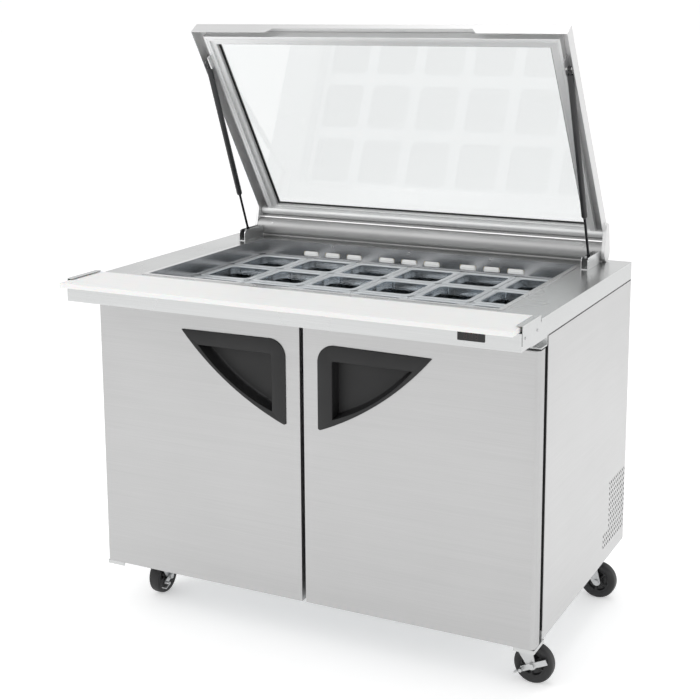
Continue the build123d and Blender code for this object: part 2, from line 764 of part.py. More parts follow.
def caster_brake():
    """Lever across the wheel, with its toe pedal, on the bolt outside the near leg."""
    plate = Pos(7, -24.8, 0) * Box(70, 2.6, 14)
    collar = rod_y(0, -26.1, -23.5, 0, 9)
    pedal = Pos(-36, -31, -1) * Box(20, 15, 3)
    roll = rod_y(-27, -38, -23.5, 0, 4.5)
    lever = fuse([plate, collar, pedal, roll]).cut(rod_y(0, -40, 0, 0, 5 + running_gap))
    return Pos(trail, 0, wheel_r) * Rot(0, -25, 0) * lever


def place_all(shapes, place):
    """Each shape moved by the same placement."""
    return [place * shape for shape in shapes]


def save_casters():
    """Four casters; the front two have brakes, and each wheel trails its own way."""
    corners = {
        "front_right": (caster_x, caster_y[0], 0, True),
        "front_left": (-caster_x, caster_y[0], 90, True),
        "rear_right": (caster_x, caster_y[1], 0, False),
        "rear_left": (-caster_x, caster_y[1], 180, False),
    }
    plates = []
    for corner, (x, y, angle, braked) in corners.items():
        place = Pos(x, y, 0) * Rot(0, 0, angle)
        plates.append(Pos(x, y, 0) * caster_plate())
        save("caster_fork_" + corner, place_all(caster_fork(3.0 if braked else 0.0), place))
        save("caster_wheel_" + corner, place_all(caster_wheel(), place))
        if braked:
            save("caster_brake_" + corner, place * caster_brake())
    save("caster_plates", plates)


# Screws

def screw(x, y, z, direction, r=4.0):
    """Low round head standing 1.6 off a surface that faces along direction."""
    disc = Cylinder(r, 1.6, align=(Align.CENTER, Align.CENTER, Align.MIN))
    head = fillet(disc.edges().sort_by(Axis.Z)[-1], 1)
    return Plane(origin=(x, y, z), z_dir=direction) * head


def screws():
    """Heads that show: board brackets, hinge roll, back panel, grille, well wall and caster plates."""
    heads = []
    for y, z in ((door_face - 24, 919), (door_face - 103, 918)):
        heads += both_sides(screw(half + 1.5, y, z, (1, 0, 0), 3.6))
    for x in (100, 300, 500):
        heads += both_sides(screw(x, cabinet_back, 870, (0, 1, 0)))
        heads += both_sides(screw(x, cabinet_back, 392, (0, 1, 0)))
        heads += both_sides(screw(x, cabinet_back, 170, (0, 1, 0)))
    for x in (-251, -5, 242):
        heads.append(screw(x, well_back - sheet, 932, (0, -1, 0), 3.2))
    turn = math.radians(roll_screw_turn)
    out = (0, -math.cos(turn), math.sin(turn))
    heads += both_sides(screw(roll_screw_x, pivot_y + roll_r * out[1], pivot_z + roll_r * out[2], out, 3.0))
    for x in caster_x * -1, caster_x:
        for y in caster_y:
            for dx in (-36, 36):
                for dy in (-30, 30):
                    heads.append(screw(x + dx, y + dy, 136, (0, 0, -1), 6))
    return heads


def save_cabinet():
    """Panels, insulation, worktop and well."""
    right = side_panel()
    save("side_panel_left", mirrored(right))
    save("side_panel_right", right.cut(*side_vents()))
    rear = block(-half, half, cabinet_back - sheet, cabinet_back, compartment_top, apron_bottom - 0.1)
    save("rear_panel", rear)
    save("rear_grille", rear_grille())
    save("base_pan", base_pan())
    save("front_frame", front_frame())
    save("insulation_panels", insulation())
    save("cabinet_liner", cabinet_liner())
    save("worktop", worktop())
    save("worktop_core", worktop_core())
    save("control_display", control_display())
    save("board_brackets", both_sides(board_bracket()))
    save("cutting_board", cutting_board())
    save("well_liner", well_liner())
    save("air_nozzles", air_nozzles())
    save("pan_divider_bars", pan_bars())
    for row, name in enumerate(("pans_rear", "pans_middle", "pans_front")):
        save(name, pan_row(rear_row - row * pan_pitch_y))


def save_cold_parts():
    """Shelves, evaporator and condensing unit."""
    save("wire_shelves", both_sides(wire_shelf()))
    save("finned_coils", [evaporator_coil(), condenser_coil()])
    save("evaporator_cover", [evaporator_cover(), evaporator_motor()])
    blades = Pos(0, evaporator_fan_y, evaporator_axis_z) * Rot(90, 0, 0)
    save("evaporator_fan", blades * fan(60, 16, 14, shaft_r + running_gap, 5))
    save("compressor", compressor())
    save("condenser_shroud", condenser_shroud())
    blades = Pos(condenser_fan_x, *condenser_axis) * Rot(0, 90, 0)
    save("condenser_fan", blades * fan(80, 20, 20, shaft_r + running_gap, 5))


def save_doors():
    """Both doors, and their hinge brackets."""
    makers = {"panel": door_panel, "foam": door_foam, "liner": door_liner}
    makers.update({"gasket": door_gasket, "handle": door_handle})
    for part_name, maker in makers.items():
        right = maker()
        save("door_" + part_name + "_right", right)
        save("door_" + part_name + "_left", mirrored(right))
    save("door_hinge_brackets", [piece for shape in door_brackets() for piece in both_sides(shape)])


def save_lid():
    """Lid, hinge roll and gas struts, with the lid open."""
    save("lid_skirt", open_lid(lid_skirt()))
    save("lid_window_frame", open_lid(lid_window_frame()))
    save("lid_gasket", open_lid(lid_gasket()))
    save("lid_glass", open_lid(lid_glass()))
    right = [open_lid(shape) for shape in lid_brackets()]
    save("lid_brackets", [piece for shape in right for piece in both_sides(shape)])
    save("lid_hinge_roll", lid_hinge_roll())
    save("strut_brackets", both_sides(strut_bracket()))
    for name, maker in (("tube", strut_tube), ("rod", strut_rod)):
        right = maker()
        save("strut_" + name + "_right", right)
        save("strut_" + name + "_left", mirrored(right))


os.makedirs("parts", exist_ok=True)
save_cabinet()
save_cold_parts()
save_doors()
save_lid()
save_casters()
save("fasteners", screws() + shelf_clips())
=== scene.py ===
import math

import bmesh
import bpy
import numpy as np
from mathutils import Matrix, Vector


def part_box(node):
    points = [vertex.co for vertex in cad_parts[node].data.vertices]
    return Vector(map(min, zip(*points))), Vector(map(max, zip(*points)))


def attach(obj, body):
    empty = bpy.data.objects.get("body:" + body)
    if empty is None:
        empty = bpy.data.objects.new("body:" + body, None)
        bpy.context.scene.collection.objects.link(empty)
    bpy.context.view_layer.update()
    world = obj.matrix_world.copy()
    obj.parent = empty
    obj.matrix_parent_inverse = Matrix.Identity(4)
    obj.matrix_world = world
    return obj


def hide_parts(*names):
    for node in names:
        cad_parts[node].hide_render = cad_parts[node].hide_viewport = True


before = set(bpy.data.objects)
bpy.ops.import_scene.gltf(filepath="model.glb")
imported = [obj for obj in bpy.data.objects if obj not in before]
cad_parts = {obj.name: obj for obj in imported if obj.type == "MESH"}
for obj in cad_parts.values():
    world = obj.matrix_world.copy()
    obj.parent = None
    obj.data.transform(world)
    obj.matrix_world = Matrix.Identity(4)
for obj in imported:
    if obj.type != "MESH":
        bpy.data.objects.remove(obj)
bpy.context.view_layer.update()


# Studio. A seamless pale floor under a bright, even surround, with soft boxes high on the left, on the right
# and overhead. Brushed steel shows only what it reflects, so the surround makes the panels light and even.

def linear(colour):
    """An sRGB hex colour as linear light: channel c becomes ((c + 0.055) / 1.055) to the power 2.4."""
    channels = [int(colour[k:k + 2], 16) / 255 for k in (1, 3, 5)]
    return (*[((c + 0.055) / 1.055) ** 2.4 for c in channels], 1.0)


def add(tree, kind, inputs=None, **settings):
    """Adds a node: settings are its properties, inputs its socket values or the outputs that feed them."""
    made = tree.nodes.new("ShaderNode" + kind)
    for name, value in settings.items():
        setattr(made, name, value)
    for name, value in (inputs or {}).items():
        if isinstance(value, bpy.types.NodeSocket):
            tree.links.new(value, made.inputs[name])
        else:
            made.inputs[name].default_value = value
    return made


def new_material(name):
    """An empty node material, and its tree."""
    material = bpy.data.materials.new(name)
    material.use_nodes = True
    material.node_tree.nodes.clear()
    return material, material.node_tree


merge_distance = 2e-6


def skin(name, shells, body, material, sharp=38.0):
    """One object from grids of points, each rows by columns by 3 and closed round its columns. A quad joins
    each point to the next in its row and to the two below them; poles are merged."""
    points, faces, start = [], [], 0
    for grid in shells:
        rows, columns = grid.shape[:2]
        here = np.arange(rows - 1)[:, None] * columns + np.arange(columns)[None, :]
        beside = np.arange(rows - 1)[:, None] * columns + (np.arange(columns)[None, :] + 1) % columns
        quads = np.stack([here, beside, beside + columns, here + columns], -1)
        faces.append(quads.reshape(-1, 4) + start)
        points.append(grid.reshape(-1, 3))
        start += rows * columns
    mesh = bpy.data.meshes.new(name)
    mesh.from_pydata(np.concatenate(points).tolist(), [], np.concatenate(faces).tolist())
    work = bmesh.new()
    work.from_mesh(mesh)
    bmesh.ops.remove_doubles(work, verts=work.verts, dist=merge_distance)
    bmesh.ops.recalc_face_normals(work, faces=work.faces)
    work.to_mesh(mesh)
    work.free()
    mesh.shade_smooth()
    mesh.set_sharp_from_angle(angle=math.radians(sharp))
    mesh.materials.append(material)
    piece = bpy.data.objects.new(name, mesh)
    bpy.context.scene.collection.objects.link(piece)
    if body:
        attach(piece, body)
    return piece


def seamless_paper():
    """Pale paper, lit through from behind: diffuse, nearly white, with a faint cloudiness 0.7 m across."""
    material, tree = new_material("seamless_paper")
    place = add(tree, "TexCoord")
    cloud = add(tree, "TexNoise", {"Vector": place.outputs["Object"], "Scale": 1.4, "Detail": 1.0})
    tone = add(tree, "MixRGB", {"Fac": cloud.outputs["Fac"], "Color1": linear("#f3f3f3"),
                                "Color2": linear("#f7f7f7")})
    shader = add(tree, "BsdfPrincipled", {"Base Color": tone.outputs[0], "Roughness": 0.9,
                                          "Emission Color": (1, 1, 1, 1), "Emission Strength": 0.36})
    add(tree, "OutputMaterial", {"Surface": shader.outputs[0]})
    return material


floor_reach = 60.0
floor_corner = np.array([[-1, -1, 0], [1, -1, 0], [1, 1, 0], [-1, 1, 0]]) * floor_reach
floor = skin("floor", [np.stack([floor_corner, floor_corner * 0])], None, seamless_paper())

world = bpy.data.worlds.new("studio")
world.use_nodes = True
world.node_tree.nodes.clear()
heading = add(world.node_tree, "TexCoord")
split = add(world.node_tree, "SeparateXYZ", {"Vector": heading.outputs["Generated"]})
rise = add(world.node_tree, "MapRange", {"Value": split.outputs["Z"], "From Min": 0.12, "From Max": 0.75,
                                         "To Min": 1.03, "To Max": 0.66})
surround = add(world.node_tree, "Background", {"Color": linear("#fdfdfd"), "Strength": rise.outputs[0]})
add(world.node_tree, "OutputWorld", {"Surface": surround.outputs[0]})
bpy.context.scene.world = world


def soft_box(name, place, target, size, power):
    """A square area light at a place, turned to face a target."""
    light = bpy.data.lights.new(name, "AREA")
    light.shape = "SQUARE"
    light.size = size
    light.energy = power
    lamp = bpy.data.objects.new(name, light)
    lamp.location = place
    lamp.rotation_euler = (Vector(target) - Vector(place)).to_track_quat("-Z", "Y").to_euler()
    bpy.context.scene.collection.objects.link(lamp)


soft_box("left_box", (-3.4, -3.6, 4.2), (0, 0, 0.8), 2.6, 75)
soft_box("right_box", (4.6, -0.6, 2.4), (0.6, 0, 0.7), 2.4, 18)
soft_box("top_box", (0.4, 0.6, 4.6), (0, 0, 1.0), 2.2, 40)

camera_place = Vector((1.5670, -3.1396, 1.6360))
camera_yaw, camera_dip, camera_roll = math.radians(26.75), math.radians(10.27), math.radians(-0.29)
camera_data = bpy.data.cameras.new("camera")
camera_data.sensor_width = 36.0
camera_data.lens = 69.87
camera_data.shift_y = -0.143
camera_data.clip_end = 200.0
camera = bpy.data.objects.new("camera", camera_data)
bpy.context.scene.collection.objects.link(camera)
aim = Matrix.Rotation(camera_yaw, 4, "Z") @ Matrix.Rotation(math.pi / 2 - camera_dip, 4, "X")
camera.matrix_world = Matrix.Translation(camera_place) @ aim @ Matrix.Rotation(camera_roll, 4, "Z")
bpy.context.scene.camera = camera
bpy.context.scene.view_settings.view_transform = "Standard"


# Casters. Plated steel plates, forks and toe brakes are pressed and stay as drawn. Each wheel is a black
# rubber tyre moulded on a ribbed black nylon hub, and it turns on the fork's bolt.

def zinc_plating():
    """Bright zinc over pressed steel: a cool grey with 3 mm cloudy patches and small changes of gloss."""
    material, tree = new_material("zinc_plating")
    place = add(tree, "TexCoord")
    patch = add(tree, "TexNoise", {"Vector": place.outputs["Object"], "Scale": 420.0, "Detail": 2.0})
    tone = add(tree, "MixRGB", {"Fac": patch.outputs["Fac"], "Color1": linear("#b9babb"),
                                "Color2": linear("#cfd0d0")})
    gloss = add(tree, "MapRange", {"Value": patch.outputs["Fac"], "To Min": 0.28, "To Max": 0.40})
    dents = add(tree, "Bump", {"Height": patch.outputs["Fac"], "Strength": 0.06, "Distance": 0.0002})
    shader = add(tree, "BsdfPrincipled", {"Base Color": tone.outputs[0], "Metallic": 1.0,
                                          "Roughness": gloss.outputs[0], "Normal": dents.outputs[0]})
    add(tree, "OutputMaterial", {"Surface": shader.outputs[0]})
    return material


def moulded_plastic(name, dark, light, rough, grain_mm, relief):
    """Injection-moulded plastic or brushed-on enamel: a fine grain of the given size, with its tone and gloss
    varying a little."""
    material, tree = new_material(name)
    place = add(tree, "TexCoord")
    grain = add(tree, "TexNoise", {"Vector": place.outputs["Object"], "Scale": 1000 / grain_mm,
                                   "Detail": 2.0})
    cloud = add(tree, "TexNoise", {"Vector": place.outputs["Object"], "Scale": 9.0, "Detail": 2.0})
    tone = add(tree, "MixRGB", {"Fac": cloud.outputs["Fac"], "Color1": linear(dark), "Color2": linear(light)})
    gloss = add(tree, "MapRange", {"Value": cloud.outputs["Fac"], "From Min": 0.3, "From Max": 0.7,
                                   "To Min": rough - 0.05, "To Max": rough + 0.06})
    texture = add(tree, "Bump", {"Height": grain.outputs["Fac"], "Strength": relief, "Distance": 0.0003})
    shader = add(tree, "BsdfPrincipled", {"Base Color": tone.outputs[0], "Roughness": gloss.outputs[0],
                                          "IOR": 1.5, "Normal": texture.outputs[0]})
    add(tree, "OutputMaterial", {"Surface": shader.outputs[0]})
    return material


def finish(material, *names):
    """Puts a finish on CAD nodes, through their objects' material slots."""
    for name in names:
        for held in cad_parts[name].material_slots:
            held.material = material


def lathe(profile, centre, axis, columns=48):
    """A turned surface: profile point (r, d) goes to centre + d * axis + r * (cos t, sin t) across it."""
    axis = Vector(axis).normalized()
    side = axis.orthogonal().normalized()
    across = np.stack([np.array(side), np.array(axis.cross(side))])
    turn = np.linspace(0, 2 * math.pi, columns, endpoint=False)
    ring = np.stack([np.cos(turn), np.sin(turn)], -1) @ across
    profile = np.asarray(profile, float)
    radial = profile[:, None, 0:1] * ring[None, :, :]
    return np.array(centre) + profile[:, None, 1:2] * np.array(axis) + radial


def tyre_profile(radius, half_width, bore):
    """Section of the tyre, as (r, d): the tread falls by t to the 3.2 towards the shoulders, t = -1 and 1."""
    t = np.linspace(-1, 1, 25)
    crown = np.stack([radius - 0.17 * radius * np.abs(t) ** 3.2, half_width * np.sin(t * math.pi / 2)], -1)
    walls = [(bore + 0.004, half_width * 0.93), (bore, half_width * 0.82)]
    rear = [(bore, -half_width * 0.82), (bore + 0.004, -half_width * 0.93)]
    return np.concatenate([crown, walls, rear, crown[:1]])


def hub_face(r, t, rim, boss, face):
    """Depth of the hub's side at radius r and angle t: a boss, then a rim and five ribs, pockets between."""
    rib = np.clip(np.abs(np.sin(2.5 * t)) * 2.2 - 0.35, 0, 1)
    ring = np.clip((r - 0.0135) / 0.003, 0, 1) * np.clip((rim - 0.0035 - r) / 0.002, 0, 1)
    flat = np.where(r < 0.0115, boss, face)
    return flat - 0.0055 * rib * ring


def hub_grid(centre, axis, half_width, rim):
    """The hub as a closed surface: out over one side, across the rim, back over the other, down the bore."""
    bore, boss, face = 0.0051, 0.0190, half_width - 0.0025
    radii = np.array([bore, bore, 0.0108, 0.0112, 0.0118, 0.0135, 0.0150, 0.0165, 0.0190, 0.0220,
                      rim - 0.0055, rim - 0.0040, rim - 0.0025, rim])
    turn = np.linspace(0, 2 * math.pi, 80, endpoint=False)
    depth = hub_face(radii[:, None], turn[None, :], rim, boss, face)
    depth[0] = 0
    flat = lathe(np.stack([radii, 0 * radii], -1), centre, axis, 80)
    lift = depth[:, :, None] * np.array(Vector(axis))
    return np.concatenate([flat + lift, (flat - lift)[::-1]])


wheel_radius, wheel_half_width, hub_radius, hub_overlap = 0.050, 0.016, 0.031, 0.0002
zinc = zinc_plating()
tyre_rubber = moulded_plastic("tyre_rubber", "#171718", "#202021", 0.50, 1.6, 0.08)
hub_nylon = moulded_plastic("hub_nylon", "#151516", "#1c1c1d", 0.40, 1.0, 0.06)
finish(zinc, "caster_plates")
for corner in ("front_left", "front_right", "rear_left", "rear_right"):
    finish(zinc, "caster_fork_" + corner)
    low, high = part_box("caster_wheel_" + corner)
    middle = (low + high) / 2
    along_x = high.x - low.x < high.y - low.y
    wheel_axis = (1, 0, 0) if along_x else (0, 1, 0)
    tread = tyre_profile(wheel_radius, wheel_half_width, hub_radius)
    tyre = skin("tyre_" + corner, [lathe(tread, middle, wheel_axis, 96)],
                "wheel_" + corner, tyre_rubber)
    hub = skin("hub_" + corner, [hub_grid(middle, wheel_axis, wheel_half_width, hub_radius + hub_overlap)],
               "wheel_" + corner, hub_nylon, 30)
    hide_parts("caster_wheel_" + corner)
    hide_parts("caster_wheel_" + corner)
finish(zinc, "caster_brake_front_left", "caster_brake_front_right")


# Carcass. Stainless side skins with slanted vents, a galvanised back, rear cover and base, foam between, and
# a plastic breaker frame round the door openings. The sheets are folded and screwed and stay as drawn. Black
# strips of painted shade run down the side skins' front folds for the door gaps, and a black line of painted
# shadow lies along their heads under the top.

def brushed_steel(name, along, dark, light, rough, grain_mm=1.3):
    """Number 4 stainless: belt-ground lines 150 times longer than wide, in tone and relief, with faint clouds
    in the gloss. Real lines are 0.1 mm apart, too fine to show, so they are drawn coarser."""
    material, tree = new_material(name)
    place = add(tree, "TexCoord")
    across = 1000 / grain_mm
    stretch = [across, across, across]
    stretch["xyz".index(along)] = across / 150
    turned = add(tree, "Mapping", {"Vector": place.outputs["Object"], "Scale": stretch})
    grain = add(tree, "TexNoise", {"Vector": turned.outputs[0], "Scale": 1.0, "Detail": 3.0,
                                   "Roughness": 0.6})
    stretch["xyz".index(along)] = across / 60
    wide = add(tree, "Mapping", {"Vector": place.outputs["Object"], "Scale": [s / 14 for s in stretch]})
    streak = add(tree, "TexNoise", {"Vector": wide.outputs[0], "Scale": 1.0, "Detail": 2.0})
    cloud = add(tree, "TexNoise", {"Vector": place.outputs["Object"], "Scale": 2.4, "Detail": 2.0})
    lines = add(tree, "MapRange", {"Value": grain.outputs["Fac"], "From Min": 0.3, "From Max": 0.7})
    mixed = add(tree, "MixRGB", {"Fac": 0.4, "Color1": lines.outputs[0], "Color2": streak.outputs["Fac"]})
    tone = add(tree, "MixRGB", {"Fac": mixed.outputs[0], "Color1": linear(dark), "Color2": linear(light)})
    gloss = add(tree, "MapRange", {"Value": cloud.outputs["Fac"], "From Min": 0.3, "From Max": 0.7,
                                   "To Min": rough - 0.03, "To Max": rough + 0.05})
    relief = add(tree, "Bump", {"Height": grain.outputs["Fac"], "Strength": 0.10, "Distance": 0.0002})
    shader = add(tree, "BsdfPrincipled", {"Base Color": tone.outputs[0], "Metallic": 1.0,
                                          "Roughness": gloss.outputs[0], "Normal": relief.outputs[0]})
    add(tree, "OutputMaterial", {"Surface": shader.outputs[0]})
    return material


def spangled_zinc():
    """Hot-dip galvanised sheet: angular crystals about 9 mm across, each with its own grey and gloss."""
    material, tree = new_material("spangled_zinc")
    place = add(tree, "TexCoord")
    crystal = add(tree, "TexVoronoi", {"Vector": place.outputs["Object"], "Scale": 110.0}, feature="F1")
    shade = add(tree, "SeparateColor", {"Color": crystal.outputs["Color"]})
    tone = add(tree, "MixRGB", {"Fac": shade.outputs[0], "Color1": linear("#b3b6b8"),
                                "Color2": linear("#c3c6c8")})
    gloss = add(tree, "MapRange", {"Value": shade.outputs[1], "To Min": 0.30, "To Max": 0.50})
    edges = add(tree, "Bump", {"Height": crystal.outputs["Distance"], "Strength": 0.06, "Distance": 0.0004})
    shader = add(tree, "BsdfPrincipled", {"Base Color": tone.outputs[0], "Metallic": 1.0,
                                          "Roughness": gloss.outputs[0], "Normal": edges.outputs[0]})
    add(tree, "OutputMaterial", {"Surface": shader.outputs[0]})
    return material


def box_loops(x0, x1, y0, y1, z0, z1):
    """A block as loops of four corners, from the middle of its bottom to the middle of its top."""
    corners = np.array([[x0, y0], [x1, y0], [x1, y1], [x0, y1]])
    middle = np.array([(x0 + x1) / 2, (y0 + y1) / 2]) + corners * 0
    flat = np.stack([middle, corners, corners, middle])
    level = np.broadcast_to(np.array([z0, z0, z1, z1])[:, None, None], (4, 4, 1))
    return np.concatenate([flat, level], -1)


side_steel = brushed_steel("side_steel_level_grain", "y", "#c4c4c4", "#cdcdcd", 0.40)
galvanised = spangled_zinc()
foam = moulded_plastic("rigid_foam", "#d8c89a", "#e6dbb4", 0.85, 2.5, 0.5)
breaker = moulded_plastic("breaker_strip_abs", "#b9bbbc", "#c8cacb", 0.45, 1.2, 0.1)
finish(side_steel, "side_panel_left", "side_panel_right")
finish(galvanised, "rear_panel", "rear_grille", "base_pan")
finish(foam, "insulation_panels", "worktop_core", "door_foam_left", "door_foam_right")
finish(breaker, "front_frame")
# Painted shade: thin black strips stand in for the dark gaps between the doors and the side skins, and a thin
# black line stands in for the shadow under the top's edge
strip_inner, strip_thick, strip_low, strip_high = 0.5890, 0.0012, 0.143, 0.885
top_shade_inset, top_shade_proud, top_shade_low, top_shade_high = 0.0004, 0.0003, 0.8872, 0.8902
gap_shade_black = moulded_plastic("edge_strip_vinyl", "#0e0e0f", "#151516", 0.55, 1.0, 0.08)
panel_low, panel_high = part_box("side_panel_right")
strips = []
for sign in (-1, 1):
    across = sorted((sign * strip_inner, sign * (panel_high.x - strip_thick)))
    strips.append(box_loops(*across, panel_low.y - strip_thick, panel_low.y, strip_low, strip_high))
    across = sorted((sign * (panel_high.x - top_shade_inset), sign * (panel_high.x + top_shade_proud)))
    strips.append(box_loops(*across, panel_low.y + 0.001, panel_high.y - 0.002, top_shade_low, top_shade_high))
skin("edge_strips", strips, "cabinet", gap_shade_black, 20)


# Cold box. The liner is embossed aluminium sheet, folded and riveted inside the foam, and the two shelves are
# steel rod, welded, dipped in pale epoxy and laid on clips.

def stucco_aluminium():
    """Embossed liner sheet: pebbles about 5 mm across pressed into satin aluminium."""
    material, tree = new_material("stucco_aluminium")
    place = add(tree, "TexCoord")
    pebble = add(tree, "TexVoronoi", {"Vector": place.outputs["Object"], "Scale": 200.0}, feature="SMOOTH_F1")
    tone = add(tree, "MixRGB", {"Fac": pebble.outputs["Distance"], "Color1": linear("#d6d8da"),
                                "Color2": linear("#b9bcbf")})
    relief = add(tree, "Bump", {"Height": pebble.outputs["Distance"], "Strength": 0.25, "Distance": 0.0006})
    shader = add(tree, "BsdfPrincipled", {"Base Color": tone.outputs[0], "Metallic": 1.0, "Roughness": 0.38,
                                          "Normal": relief.outputs[0]})
    add(tree, "OutputMaterial", {"Surface": shader.outputs[0]})
    return material


liner_sheet = stucco_aluminium()
epoxy = moulded_plastic("shelf_epoxy", "#cfd0cd", "#dddeda", 0.32, 3.0, 0.12)
finish(liner_sheet, "cabinet_liner", "door_liner_left", "door_liner_right", "evaporator_cover")
finish(epoxy, "wire_shelves")


# Evaporator and condensing unit. Finned aluminium blocks, black moulded fans, and a black enamelled
# compressor on rubber feet. A wire guard of rings and four spokes is screwed over the evaporator fan's inlet.

def ring_wire(centre, axis, radius, wire, columns=64):
    """A wire ring: a circle of the wire's radius, carried round the axis."""
    t = np.linspace(0, 2 * math.pi, 13)
    return lathe(np.stack([radius + wire * np.cos(t), wire * np.sin(t)], -1), centre, axis, columns)


def straight_wire(start, end, wire):
    """A straight wire with rounded ends, as a turned surface."""
    start, end = Vector(start), Vector(end)
    length = (end - start).length
    t = np.linspace(0, math.pi / 2, 4)
    nose = np.stack([wire * np.sin(t), wire * (1 - np.cos(t))], -1)
    tail = np.stack([wire * np.cos(t), length - wire * (1 - np.sin(t))], -1)
    return lathe(np.concatenate([nose, tail]), start, end - start, 12)


fan_plastic = moulded_plastic("fan_blade_plastic", "#202122", "#2c2d2f", 0.4, 1.2, 0.1)
enamel = moulded_plastic("compressor_enamel", "#161617", "#232324", 0.28, 4.0, 0.1)
fin_stock = brushed_steel("fin_aluminium", "z", "#8f9294", "#d0d2d3", 0.35, 2.4)
finish(fan_plastic, "evaporator_fan", "condenser_fan")
finish(enamel, "compressor")
finish(fin_stock, "finned_coils")
finish(galvanised, "condenser_shroud")
fan_low, fan_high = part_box("evaporator_fan")
cover_low, cover_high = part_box("evaporator_cover")
ring_radii = (0.012, 0.024, 0.036, 0.048, 0.060, 0.071)
ring_thick, spoke_thick, guard_stand = 0.0011, 0.0012, 0.0022
inlet = Vector(((fan_low.x + fan_high.x) / 2, cover_low.y - guard_stand, (fan_low.z + fan_high.z) / 2))
guard_shells = [ring_wire(inlet, (0, 1, 0), radius, ring_thick) for radius in ring_radii]
behind = inlet + Vector((0, ring_thick, 0))
for spoke in range(4):
    bearing = math.radians(45 + 90 * spoke)
    reach = Vector((math.cos(bearing), 0, math.sin(bearing))) * ring_radii[-1]
    guard_shells.append(straight_wire(behind + reach * 0.16, behind + reach, spoke_thick))
skin("evaporator_fan_guard", guard_shells, "cabinet", zinc)


# Top. One formed stainless sheet, polished finer than the panels so that the struts show in it, over foam.
# The well liner is folded from the same sheet, and loose stainless bars carry the pans.

top_steel = brushed_steel("worktop_steel", "x", "#c0c1c1", "#cdcece", 0.26)
well_steel = brushed_steel("well_steel", "x", "#c6c6c7", "#d6d6d6", 0.20)
bar_steel = brushed_steel("pan_bar_steel", "y", "#d0d1d1", "#e0e1e1", 0.30)
finish(top_steel, "worktop")
finish(well_steel, "well_liner")
finish(bar_steel, "pan_divider_bars")


# Air nozzles. White moulded hoods that guide the cold air over the pans, with two slits in each. They are
# pressed into the nine slots of the well's back wall, in three groups of three.

def rounded_rectangle(half_x, half_z, radius, per_corner=6):
    """Points round a rectangle: each corner's centre plus the radius times (cos t, sin t), a quarter turn."""
    quarter = np.linspace(0, math.pi / 2, per_corner)
    turn = (np.arange(4)[:, None] * math.pi / 2 + quarter[None, :]).ravel()
    sign_x = np.repeat([1, -1, -1, 1], per_corner)
    sign_z = np.repeat([1, 1, -1, -1], per_corner)
    x = sign_x * (half_x - radius) + radius * np.cos(turn)
    z = sign_z * (half_z - radius) + radius * np.sin(turn)
    return np.stack([x, z], -1)


def nozzle_hood(x, y, z):
    """A hood: the outline shrinks by e of the half height while it rises as the root of 1 - (1 - e)^2, less a
    bell-shaped groove at each slit, and it is 6 per cent wider at the foot."""
    half_x, half_z, corner, rise, lip = 0.0232, 0.0070, 0.0046, 0.0034, 0.0002
    slit_level, slit_wide, slit_half_length, slit_deep = 0.0028, 0.0007, 0.0185, 0.0012
    loops = [np.full(24, 0.0018), np.full(24, -lip)]
    shape = [rounded_rectangle(half_x, half_z, corner), rounded_rectangle(half_x, half_z, corner)]
    for e in np.linspace(0.02, 0.995, 14):
        inset = half_z * e
        rounding = max(corner - inset, (half_z - inset) * 0.6)
        outline = rounded_rectangle(half_x - inset, half_z - inset, rounding)
        groove = np.exp(-((np.abs(outline[:, 1]) - slit_level) / slit_wide) ** 2)
        groove = groove * (np.abs(outline[:, 0]) < slit_half_length)
        loops.append(-lip - rise * math.sqrt(1 - (1 - e) ** 2) + slit_deep * groove)
        shape.append(outline)
    shape = [shape[0] * 0] + shape + [shape[-1] * (1, 0)]
    loops = [loops[0]] + loops + [loops[-1]]
    flat = np.stack(shape)
    flat[..., 0] *= 1 - 0.06 * flat[..., 1] / half_z
    return np.stack([x + flat[..., 0], y + np.stack(loops), z + flat[..., 1]], -1)


white_abs = moulded_plastic("nozzle_white_abs", "#f6f6f5", "#fbfbfa", 0.40, 0.9, 0.05)
nozzle_groups, nozzle_pitch = (-0.252, -0.005, 0.247), 0.071
nozzle_low, nozzle_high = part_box("air_nozzles")
hoods = []
for group in nozzle_groups:
    for step in (-nozzle_pitch, 0.0, nozzle_pitch):
        hoods.append(nozzle_hood(group + step, nozzle_low.y + 0.0008, (nozzle_low.z + nozzle_high.z) / 2))
nozzles = skin("air_nozzle_hoods", hoods, "cabinet", white_abs, 50)
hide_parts("air_nozzles")


# Pans. Eighteen clear polycarbonate pans of one-sixth size, moulded with thin walls and a stacking shoulder,
# and tapering to a rounded base. Each hangs by its flat rim on the bars.

def clear_polycarbonate(rim_level):
    """Clear polycarbonate, slightly smoky, hazed by washing in its gloss; its flat rim is made opaque and
    pale, painted light for the light piped through its edges.
    """
    material, tree = new_material("clear_polycarbonate")
    place = add(tree, "TexCoord")
    haze = add(tree, "TexNoise", {"Vector": place.outputs["Object"], "Scale": 55.0, "Detail": 3.0})
    gloss = add(tree, "MapRange", {"Value": haze.outputs["Fac"], "From Min": 0.35, "From Max": 0.75,
                                   "To Min": 0.03, "To Max": 0.14})
    level = add(tree, "SeparateXYZ", {"Vector": place.outputs["Object"]})
    # Painted light: transmission falls near the rim level, so the rim shows pale and opaque in place of light
    # piped through its edges
    rim_painted_light = add(tree, "MapRange", {"Value": level.outputs["Z"], "From Min": rim_level - 0.0015,
                                  "From Max": rim_level - 0.0003, "To Min": 1.0, "To Max": 0.12})
    shader = add(tree, "BsdfPrincipled", {"Base Color": linear("#d5dade"), "Roughness": gloss.outputs[0],
                                          "IOR": 1.58, "Transmission Weight": rim_painted_light.outputs[0]})
    add(tree, "OutputMaterial", {"Surface": shader.outputs[0]})
    return material


